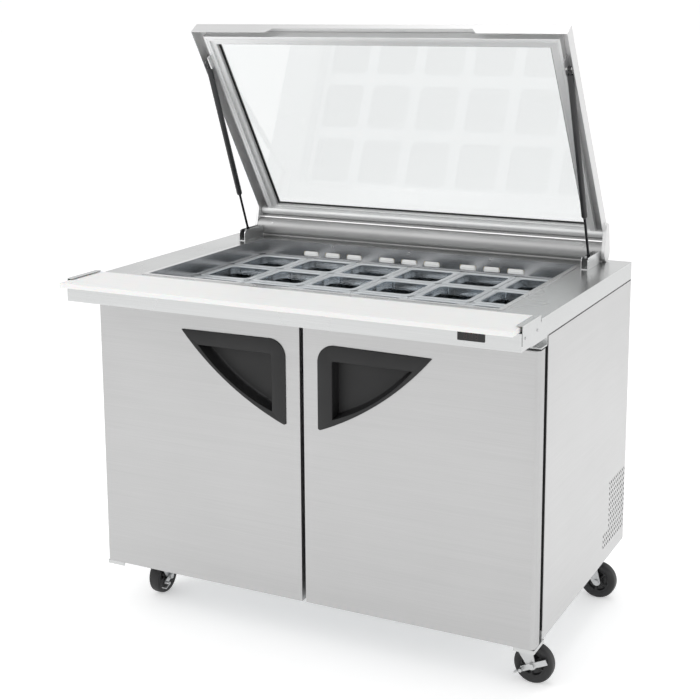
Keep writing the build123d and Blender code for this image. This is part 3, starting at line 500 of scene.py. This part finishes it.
# half width, half length, corner radius and height above the rim's underside, in mm, from the base's
# underside round the rim to the inside of the base
pan_stations = np.array([
    (0.1, 0.1, 0.05, -100.0), (50, 57, 13, -100.0), (57, 64, 14, -99.6), (60, 67, 16, -98.0),
    (61.2, 68.2, 17, -94.5), (64.0, 71.0, 17, -58.0), (66.3, 73.3, 17, -24.0), (66.9, 73.9, 17, -19.0),
    (68.0, 75.0, 17, -17.5),
    (68.2, 75.2, 17, -3.0), (68.9, 75.9, 17, -0.6), (70.5, 77.5, 17, 0.0), (79.3, 86.3, 14, 0.0),
    (80.3, 87.3, 14.6, 0.5), (80.5, 87.5, 14.8, 1.2), (80.1, 87.1, 14.5, 1.8), (79.0, 86.0, 14, 2.0),
    (68.0, 74.0, 16, 2.0), (65.8, 71.8, 16, 1.7), (64.8, 70.8, 15.5, 0.6), (64.4, 70.6, 15, -2.0),
    (64.4, 70.6, 15, -16.5), (64.1, 70.4, 15, -18.5), (63.6, 70.2, 15, -24.0), (61.8, 68.8, 15, -58.0),
    (58.9, 65.9, 14, -93.0), (57.6, 64.6, 13, -96.0), (54.5, 61.5, 12, -97.5), (45, 52, 11, -97.8),
    (0.1, 0.1, 0.05, -97.8)])


def pan_grid(centre_x, centre_y, rim_level):
    """One pan: a rounded rectangle at each station, placed at its height."""
    loops = [rounded_rectangle(half_x, half_y, radius, 7) for half_x, half_y, radius, height in pan_stations]
    flat = np.stack(loops) / 1000
    level = np.broadcast_to(pan_stations[:, 3:4] / 1000, flat.shape[:2])
    return np.stack([centre_x + flat[..., 0], centre_y + flat[..., 1], rim_level + level], -1)


pan_half_width, pan_rim = 0.0805, 0.002
polycarbonate = clear_polycarbonate(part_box("pans_rear")[1].z - pan_rim)
for row in ("rear", "middle", "front"):
    low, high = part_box("pans_" + row)
    pitch = (high.x - low.x - 2 * pan_half_width) / 5
    pan_shells = []
    for column in range(6):
        centre_x = low.x + pan_half_width + pitch * column
        pan_shells.append(pan_grid(centre_x, (low.y + high.y) / 2, high.z - pan_rim))
    pans = skin("clear_pans_" + row, pan_shells, "pans_" + row, polycarbonate, 45)
    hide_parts("pans_" + row)


# Cutting board and its clips. A polyethylene board with eased edges, knife-scratched and matt, held down by
# folded stainless angles that are screwed to the ends of the top.

def board_polyethylene():
    """White polyethylene: a fine pressed haircell 0.8 mm across, crossed by long shallow knife marks."""
    material, tree = new_material("white_polyethylene")
    place = add(tree, "TexCoord")
    hair = add(tree, "TexNoise", {"Vector": place.outputs["Object"], "Scale": 1250.0, "Detail": 2.0})
    long_way = add(tree, "Mapping", {"Vector": place.outputs["Object"], "Scale": (9, 500, 500),
                                     "Rotation": (0, 0, 0.35)})
    marks = add(tree, "TexNoise", {"Vector": long_way.outputs[0], "Scale": 1.0, "Detail": 1.0})
    cut = add(tree, "MapRange", {"Value": marks.outputs["Fac"], "From Min": 0.66, "From Max": 0.74})
    tone = add(tree, "MixRGB", {"Fac": cut.outputs[0], "Color1": linear("#e6e6e5"),
                                "Color2": linear("#dddddb")})
    height = add(tree, "Math", {0: hair.outputs["Fac"], 1: cut.outputs[0]}, operation="SUBTRACT")
    relief = add(tree, "Bump", {"Height": height.outputs[0], "Strength": 0.10, "Distance": 0.0002})
    shader = add(tree, "BsdfPrincipled", {"Base Color": tone.outputs[0], "Roughness": 0.48, "IOR": 1.51,
                                          "Subsurface Weight": 0.15, "Subsurface Scale": 0.004,
                                          "Normal": relief.outputs[0]})
    add(tree, "OutputMaterial", {"Surface": shader.outputs[0]})
    return material


finish(board_polyethylene(), "cutting_board")
finish(top_steel, "board_brackets")


# Controller. A gloss black acrylic window, clipped into the apron, with the unlit segments of three figures
# faintly seen in it.

def segment_bars(centre_x, front_y, centre_z, height):
    """Seven bars of one figure, each a thin slab with pointed ends, as loops closed over their faces."""
    bar, thick = height / 2, height * 0.13
    long_shape = np.array([(-0.42, 0), (-0.34, 0.5), (0.34, 0.5), (0.42, 0), (0.34, -0.5), (-0.34, -0.5)])
    upright = long_shape[:, ::-1] * (thick, bar)
    level = long_shape * (bar, thick)
    places = [(0, bar, level), (0, 0, level), (0, -bar, level), (-bar / 2, bar / 2, upright),
              (bar / 2, bar / 2, upright), (-bar / 2, -bar / 2, upright), (bar / 2, -bar / 2, upright)]
    grids = []
    for dx, dz, shape in places:
        x, z = centre_x + dx + shape[:, 0], centre_z + dz + shape[:, 1]
        front = np.stack([x, np.full(6, front_y - 0.00015), z], -1)
        rear = front + (0, 0.0006, 0)
        grids.append(np.stack([front * 0 + front.mean(0), front, rear, rear * 0 + rear.mean(0)]))
    return grids


black_acrylic = moulded_plastic("display_acrylic", "#060607", "#0b0b0c", 0.12, 8.0, 0.01)
unlit_lens = moulded_plastic("unlit_segments", "#2b2020", "#2f2323", 0.3, 2.0, 0.02)
finish(black_acrylic, "control_display")
display_low, display_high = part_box("control_display")
display_mid = (display_low + display_high) / 2
figure_pitch, figure_height = 0.013, 0.0125
figure_shells = []
for step in (-figure_pitch, 0.0, figure_pitch):
    figure_shells += segment_bars(display_mid.x + step, display_low.y, display_mid.z, figure_height)
skin("display_segments", figure_shells, "cabinet", unlit_lens, 20)


# Doors. Folded stainless pans over foam, ground across their width, with a pressed aluminium liner and a
# black magnetic gasket behind. Each hangs on pins in stainless brackets, with a nylon bush on its upper pin.

def mitred_ring(profile, half_x, low, high):
    """A profile carried round a rectangle: point (o, n) goes to the corners pushed out by o, at height n."""
    profile = np.asarray(profile, float)
    out, rise = profile[:, 0:1], profile[:, 1:2]
    x = np.concatenate([-half_x - out, half_x + out, half_x + out, -half_x - out], 1)
    s = np.concatenate([low - out, low - out, high + out, high + out], 1)
    return x, s, np.broadcast_to(rise, x.shape)


def gasket_profile(width, depth):
    """Gasket section: a flat foot, a narrow neck of folds, and a rounded magnet tube against the frame."""
    t = np.linspace(-math.pi / 2, math.pi / 2, 9)
    half_tube = depth * 0.24
    right = [(width, 0), (width, depth * 0.14), (width * 0.80, depth * 0.2), (width * 0.74, depth * 0.32),
             (width * 0.86, depth * 0.42), (width * 0.80, depth * 0.52)]
    nose = np.stack([width * 0.80 + half_tube * np.cos(t), depth - half_tube + half_tube * np.sin(t)], -1)
    right = np.concatenate([right, nose])
    left = right[::-1] * (-1, 1) + (width, 0)
    return np.concatenate([right, left, right[:1]])


door_steel = brushed_steel("door_steel_level_grain", "x", "#b4b4b4", "#bebebe", 0.40)
gasket_vinyl = moulded_plastic("gasket_vinyl", "#121213", "#1c1c1d", 0.5, 1.0, 0.08)
bush_nylon = moulded_plastic("bush_nylon", "#141415", "#1d1d1e", 0.42, 1.0, 0.05)
gasket_width = 0.018
hinge_x, hinge_front, bush_level = 0.588, -0.2746, 0.86305
bush_section = [(0.0052, 0), (0.0090, 0), (0.0098, 0.0005), (0.0098, 0.0014), (0.0090, 0.0019),
                (0.0052, 0.0019), (0.0052, 0)]
for side, sign in (("left", -1), ("right", 1)):
    finish(door_steel, "door_panel_" + side)
    low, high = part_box("door_gasket_" + side)
    x, z, y = mitred_ring(gasket_profile(gasket_width, high.y - low.y) * (-1, 1),
                          (high.x - low.x) / 2, low.z, high.z)
    gasket = skin("door_seal_" + side, [np.stack([x + (low.x + high.x) / 2, y + low.y, z], -1)],
                  "door_" + side, gasket_vinyl)
    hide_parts("door_gasket_" + side)
    bush = lathe(bush_section, Vector((sign * hinge_x, hinge_front, bush_level)), (0, 0, 1), 40)
    skin("hinge_bush_" + side, [bush], "cabinet", bush_nylon)
finish(top_steel, "door_hinge_brackets")


# Door handles. Charcoal moulded tubs clipped into the doors: a flat border with a soft edge stands 2.6 mm
# proud, and inside it the walls drop steeply, with a small cove along the curved side, to a flat back.

def along(points, count):
    """Evenly spaced points on a polyline: linear interpolation over its running length."""
    points = np.asarray(points, float)
    run = np.concatenate([[0], np.cumsum(np.hypot(*np.diff(points, axis=0).T))])
    want = np.linspace(0, run[-1], count, endpoint=False)
    return np.stack([np.interp(want, run, points[:, 0]), np.interp(want, run, points[:, 1])], -1)


def arc_through(a, b, c, count=40):
    """Points of the circle through a, b and c, from a to c: the centre is where the two bisectors cross."""
    a, b, c = (np.asarray(p, float) for p in (a, b, c))
    rows = np.stack([b - a, c - a]) * 2
    centre = np.linalg.solve(rows, [b @ b - a @ a, c @ c - a @ a])
    first, last = (math.atan2(*(p - centre)[::-1]) for p in (a, c))
    turn = np.linspace(first, last, count)
    return centre + np.hypot(*(a - centre)) * np.stack([np.cos(turn), np.sin(turn)], -1)


per_side = 60


def handle_outline():
    """The border's outline in mm: up the inner side, round the top corner, along the top, down the curve."""
    turn = np.linspace(math.pi, math.pi / 2, 24)
    corner = np.stack([90 + 45 * np.cos(turn), 775 + 45 * np.sin(turn)], -1)
    half_corner = len(corner) // 2
    inner = np.concatenate([[(45, 604)], corner[:half_corner]])
    top = np.concatenate([corner[half_corner - 1:], [(347, 817.4), (349.4, 816.2)]])
    curve = arc_through((349.4, 816.2), (214, 691), (53, 602))
    curve = np.concatenate([curve, [(48, 601.4), (45, 604)]])
    return np.concatenate([along(inner, per_side), along(top, per_side), along(curve, per_side)])


def pocket_outline():
    """The recess's outline in mm, inside the border, side for side with the outline."""
    inner = [(85, 632), (85, 776), (86.2, 778.8)]
    top = [(86.2, 778.8), (89, 780), (300, 780)]
    curve = arc_through((300, 780), (202, 692), (85, 632))
    return np.concatenate([along(inner, per_side), along(top, per_side), along(curve, per_side)])


def handle_grid(sign, face_y):
    """The handle as a closed shell of loops: border edge, border, tub, and the same again behind. The tub
    falls as a quarter sine to the 1.15 over the wall's share of the way to its lowest point, then is flat."""
    outer, pocket = handle_outline(), pocket_outline()
    low_point = np.array([128.0, 738.0])
    pocket_depth, shell_thick, shell_spread = 28.0, 2.4, 0.012
    points = 3 * per_side
    side = np.arange(points) / per_side
    scooped = np.clip(np.minimum(side - 2.0, 3.0 - side) * 6, 0, 1)
    wall_share = 0.10 + 0.05 * scooped
    loops = [(outer, 0.0)]
    for share, lift in ((0.0, 1.5), (0.010, 2.2), (0.030, 2.6)):
        loops.append((outer + (pocket - outer) * share, -lift))
    for share, lift in ((0.93, 2.6), (0.975, 2.2), (1.0, 1.2)):
        loops.append((outer + (pocket - outer) * share, -lift))
    tub = np.concatenate([np.linspace(0.01, 0.5, 18), np.linspace(0.55, 0.98, 8)])
    for share in tub:
        fall = np.clip(share / wall_share, 0, 1)
        depth = pocket_depth * np.sin(fall * math.pi / 2) ** 1.15
        loops.append((pocket + (low_point - pocket) * share, depth))
    loops.append((pocket * 0 + low_point, pocket_depth))
    loops.append((pocket * 0 + low_point, pocket_depth + shell_thick + 0.2))
    for share in tub[::-1]:
        fall = np.clip(share / wall_share, 0, 1)
        depth = pocket_depth * np.sin(fall * math.pi / 2) ** 1.15 + shell_thick
        loops.append((pocket + (low_point - pocket) * share + (pocket - low_point) * shell_spread, depth))
    loops.append((pocket + (pocket - low_point) * shell_spread, 0.6))
    loops.append((outer, 0.0))
    flat = np.stack([outline for outline, _ in loops]) / 1000
    depth = np.stack([np.broadcast_to(level, points) for _, level in loops]) / 1000
    return np.stack([sign * flat[..., 0], face_y + depth, flat[..., 1]], -1)


handle_plastic = moulded_plastic("handle_charcoal_abs", "#0f0f10", "#131314", 0.55, 0.9, 0.10)
for side, sign in (("left", -1), ("right", 1)):
    door_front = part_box("door_panel_" + side)[0].y
    handle = skin("door_grip_" + side, [handle_grid(sign, door_front)], "door_" + side,
                  handle_plastic, 42)
    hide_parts("door_handle_" + side)


# Lid. A folded stainless hood with a hand notch in front. Inside, a stepped aluminium window frame with
# mitred corners and a round bar along its hinge side holds a sealed double pane on a black glazing seal.

lid_tilt = math.radians(56.7)
hinge_y, hinge_z = 0.4385, 0.9650
rim_back, rim_rise = 0.0213, 0.0195


def on_lid(x, s, n):
    """Places points of the shut lid, s forward of its rear edge and n above its rim, turned by the tilt t:
    y falls by back cos t less up sin t, and z rises by back sin t plus up cos t, from the hinge."""
    back, up = rim_back + s, rim_rise + n
    y = hinge_y - back * math.cos(lid_tilt) + up * math.sin(lid_tilt)
    z = hinge_z + back * math.sin(lid_tilt) + up * math.cos(lid_tilt)
    return np.stack(np.broadcast_arrays(x, y, z), -1)


def satin_anodising(name, dark, light, rough):
    """Anodised aluminium: an even matt etch with 1.5 mm grain and faint die lines in its gloss."""
    material, tree = new_material(name)
    place = add(tree, "TexCoord")
    etch = add(tree, "TexNoise", {"Vector": place.outputs["Object"], "Scale": 670.0, "Detail": 2.0})
    cloud = add(tree, "TexNoise", {"Vector": place.outputs["Object"], "Scale": 12.0, "Detail": 2.0})
    tone = add(tree, "MixRGB", {"Fac": cloud.outputs["Fac"], "Color1": linear(dark), "Color2": linear(light)})
    gloss = add(tree, "MapRange", {"Value": etch.outputs["Fac"], "To Min": rough - 0.06,
                                   "To Max": rough + 0.08})
    relief = add(tree, "Bump", {"Height": etch.outputs["Fac"], "Strength": 0.06, "Distance": 0.0002})
    shader = add(tree, "BsdfPrincipled", {"Base Color": tone.outputs[0], "Metallic": 1.0,
                                          "Roughness": gloss.outputs[0], "Normal": relief.outputs[0]})
    add(tree, "OutputMaterial", {"Surface": shader.outputs[0]})
    return material


def float_glass():
    """Clear glass with a trace of grey-green, and gloss dulled a little in places by wiping."""
    material, tree = new_material("clear_float_glass")
    place = add(tree, "TexCoord")
    wiped = add(tree, "TexNoise", {"Vector": place.outputs["Object"], "Scale": 7.0, "Detail": 3.0})
    gloss = add(tree, "MapRange", {"Value": wiped.outputs["Fac"], "From Min": 0.4, "From Max": 0.8,
                                   "To Min": 0.0, "To Max": 0.05})
    shader = add(tree, "BsdfPrincipled", {"Base Color": linear("#f0f2f2"), "Roughness": gloss.outputs[0],
                                          "IOR": 1.5, "Transmission Weight": 1.0})
    add(tree, "OutputMaterial", {"Surface": shader.outputs[0]})
    return material


glass_half, glass_rear, glass_front = 0.486, 0.034, 0.627
# outward from the pane's edge and up from the rim, in mm: the recessed step, the proud step with two grooves
# and the back
frame_section = np.array([
    (0.0, 26.4), (0.0, 17.2), (0.5, 16.3), (1.3, 16.0), (4.0, 16.0), (4.3, 16.7), (5.0, 16.7),
    (5.3, 16.0), (13.4, 16.0), (14.2, 15.6), (14.5, 14.8), (14.5, 11.2), (14.9, 10.3), (15.8, 10.0),
    (20.8, 10.0), (21.1, 10.8), (21.9, 10.8), (22.2, 10.0), (28.6, 10.0), (29.6, 10.3), (30.0, 11.2),
    (30.0, 34.8), (15.0, 34.8), (15.0, 26.4), (0.0, 26.4)]) / 1000
seal_section = np.array([
    (-5.0, 27.2), (-4.6, 26.7), (-3.8, 26.5), (9.0, 26.5), (9.0, 29.4), (-3.8, 29.4), (-4.6, 29.2),
    (-5.0, 28.7), (-5.0, 27.2)]) / 1000
anodised = satin_anodising("satin_anodised_aluminium", "#e4e5e5", "#eeeeee", 0.60)
ring_x, ring_s, ring_n = mitred_ring(frame_section, glass_half, glass_rear, glass_front)
# the frame's back stays under the skin where the skin rounds down to the hinge, in a 26.6 mm curve
under_skin = 0.009 + np.sqrt(np.maximum(0.0266 ** 2 - np.maximum(0.028 - ring_s, 0) ** 2, 0))
window_ring = on_lid(ring_x, ring_s, np.minimum(ring_n, under_skin))
window_frame = skin("window_frame_profile", [window_ring], "lid", anodised, 20)
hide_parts("lid_window_frame")
bar_radius, bar_length, bar_end, bar_back, bar_up = 0.011, 1.080, 0.0015, 0.0145, 0.0135
bar_section = [(0, 0), (bar_radius - bar_end, 0), (bar_radius, bar_end), (bar_radius, bar_length - bar_end),
               (bar_radius - bar_end, bar_length), (0, bar_length)]
bar_start = on_lid(np.array(-bar_length / 2), np.array(bar_back), np.array(bar_up))
rear_bar = skin("lid_rear_bar", [lathe(bar_section, bar_start, (1, 0, 0), 64)],
                "lid", anodised, 30)
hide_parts("lid_window_frame")
seal_ring = on_lid(*mitred_ring(seal_section, glass_half, glass_rear, glass_front))
glazing_seal = skin("glazing_seal", [seal_ring], "lid", gasket_vinyl, 30)
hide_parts("lid_gasket")
lid_steel = brushed_steel("lid_steel", "x", "#dddddd", "#e8e8e8", 0.55)
finish(lid_steel, "lid_skirt", "lid_brackets")
finish(float_glass(), "lid_glass")
roll_steel = brushed_steel("hinge_roll_satin", "x", "#b6b6b6", "#c2c2c2", 0.56)
finish(roll_steel, "lid_hinge_roll")


# Gas struts. A black enamelled cylinder, rolled shut round a dark nitrided rod, hangs from a stud on the lid;
# the rod's eye turns on a pin between the two plates of a bright foot bracket.

def eye_section(outer, bore, half_width):
    """Section of an eye as (r, d), a ring with eased rims, closed on itself."""
    ease = 0.0009
    return [(bore, -half_width), (outer - ease, -half_width), (outer, -half_width + ease),
            (outer, half_width - ease), (outer - ease, half_width), (bore, half_width), (bore, -half_width)]


strut_enamel = moulded_plastic("strut_black_enamel", "#1d1d1f", "#29292b", 0.34, 2.0, 0.06)
nitrided = satin_anodising("nitrided_rod", "#2a2a2d", "#39393c", 0.26)
strut_x, stud_forward, stud_up, foot_y, foot_z = 0.529, 0.572, 0.006, 0.3380, 0.9640
strut_top = Vector(on_lid(np.array(strut_x), np.array(stud_forward), np.array(stud_up)))
strut_foot = Vector((strut_x, foot_y, foot_z))
strut_down = (strut_foot - strut_top).normalized()
# radius and distance from the stud, in mm
barrel = np.array([(0, 4.0), (3.4, 4.2), (3.9, 5.0), (3.9, 13.5), (5.2, 14.6), (7.2, 16.0), (8.0, 18.2),
                   (8.0, 405.0), (7.7, 408.0), (7.7, 410.0), (8.0, 412.0), (8.0, 420.5), (7.5, 423.6),
                   (6.2, 425.4), (4.4, 426.0), (0, 426.0)]) / 1000
rod_end = (strut_foot - strut_top).length * 1000
rod = np.array([(0, 364.0), (3.5, 364.0), (3.5, rod_end - 12.0), (4.4, rod_end - 11.0), (4.4, rod_end - 5.0),
                (0, rod_end - 4.0)]) / 1000
tube_eye = eye_section(0.007, 0.00407, 0.0045)
rod_eye = eye_section(0.007, 0.0020, 0.0040)
for side, sign in (("left", -1), ("right", 1)):
    top = Vector((sign * strut_top.x, strut_top.y, strut_top.z))
    foot = Vector((sign * strut_foot.x, strut_foot.y, strut_foot.z))
    tube_shells = [lathe(barrel, top, strut_down, 48), lathe(tube_eye, top, (1, 0, 0))]
    cylinder = skin("gas_cylinder_" + side, tube_shells, "strut_tube_" + side, strut_enamel, 35)
    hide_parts("strut_tube_" + side)
    rod_shells = [lathe(rod, top, strut_down, 32), lathe(rod_eye, foot, (1, 0, 0))]
    piston = skin("piston_rod_" + side, rod_shells, "strut_rod_" + side, nitrided, 35)
    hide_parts("strut_rod_" + side)
finish(bar_steel, "strut_brackets")
finish(zinc, "fasteners")
